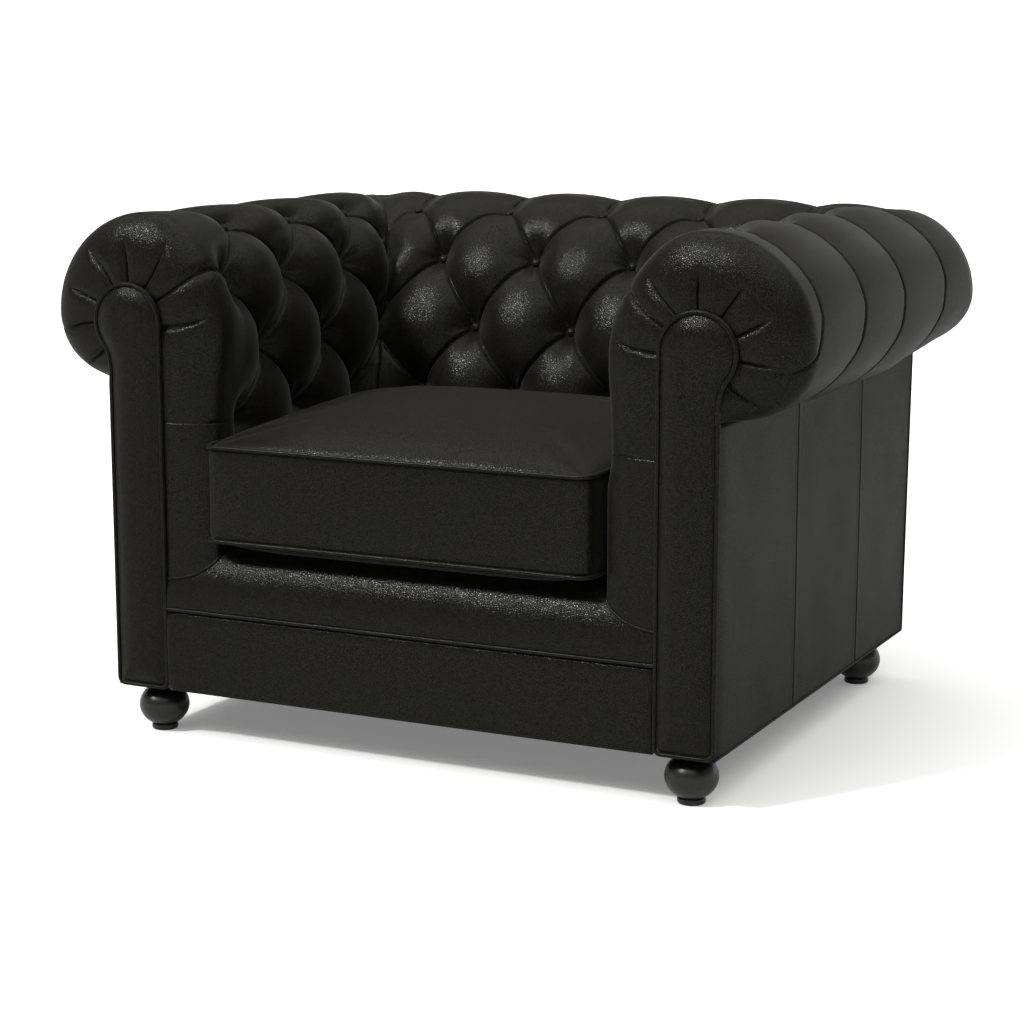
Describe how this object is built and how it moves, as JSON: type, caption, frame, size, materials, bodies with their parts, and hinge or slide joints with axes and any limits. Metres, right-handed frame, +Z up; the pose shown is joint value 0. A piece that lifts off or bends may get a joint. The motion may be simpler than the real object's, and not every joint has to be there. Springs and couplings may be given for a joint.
{
  "type": "chesterfield armchair",
  "caption": "Deep-buttoned leather club armchair with rolled arms and back, panelled front, loose box seat cushion and turned bun feet.",
  "frame": {"origin": "on the floor, under the middle of the chair's bounding box", "axes": "+X to the viewer's right when facing the chair, +Y from the front to the back, +Z up; the seat opens towards -Y"},
  "size_m": [1.1216, 0.883, 0.734],
  "materials": {
    "hide": "satin, fine pebble grain",
    "turned_wood": "black satin lacquer",
    "frame_wood": "planed, unfinished",
    "foam": "matte",
    "black_cloth": "matte",
    "hessian": "coarse weave",
    "spring_steel": "plain",
    "zip_metal": "dark"
  },
  "bodies": {
    "chair_base": {"right_arm_cover": "hide", "left_arm_cover": "hide", "right_arm_foam": "foam", "left_arm_foam": "foam", "back_cover": "hide", "back_foam": "foam", "right_facing": "hide", "left_facing": "hide", "right_facing_board": "frame_wood", "left_facing_board": "frame_wood", "right_facing_piping": "hide", "left_facing_piping": "hide", "right_outside_arm": "hide", "left_outside_arm": "hide", "outside_back": "hide", "front_border": "hide", "border_piping": "hide", "lip_cover": "hide", "deck_pad": "foam", "platform_cloth": "black_cloth", "insulator": "hessian", "front_rail": "frame_wood", "back_rail": "frame_wood", "right_side_rail": "frame_wood", "left_side_rail": "frame_wood", "right_front_post": "frame_wood", "left_front_post": "frame_wood", "right_back_post": "frame_wood", "left_back_post": "frame_wood", "back_top_rail": "frame_wood", "back_upright": "frame_wood", "right_arm_top_rail": "frame_wood", "left_arm_top_rail": "frame_wood", "right_arm_tack_rail": "frame_wood", "left_arm_tack_rail": "frame_wood", "back_tack_rail": "frame_wood", "right_front_corner_block": "frame_wood", "left_front_corner_block": "frame_wood", "right_back_corner_block": "frame_wood", "left_back_corner_block": "frame_wood", "seat_spring_1": "spring_steel", "seat_spring_2": "spring_steel", "seat_spring_3": "spring_steel", "seat_spring_4": "spring_steel", "dust_cover": "black_cloth", "right_front_foot": "turned_wood", "left_front_foot": "turned_wood", "right_back_foot": "turned_wood", "left_back_foot": "turned_wood", "right_front_foot_bolt": "spring_steel", "left_front_foot_bolt": "spring_steel", "right_back_foot_bolt": "spring_steel", "left_back_foot_bolt": "spring_steel"},
    "seat_cushion": {"cushion_cover": "hide", "cushion_core": "foam", "cushion_piping_top": "hide", "cushion_piping_bottom": "hide", "cushion_zip": "black_cloth"},
    "zip_slider": {"zip_slider": "zip_metal"}
  },
  "joints": [
    {"name": "seat_cushion_lift", "type": "slide", "parent": "chair_base", "child": "seat_cushion", "axis": [0, 0, 1], "range_m": [0, 0.48]},
    {"name": "zip_slider_run", "type": "slide", "parent": "seat_cushion", "child": "zip_slider", "axis": [-1, 0, 0], "range_m": [0, 0.376]}
  ]
}
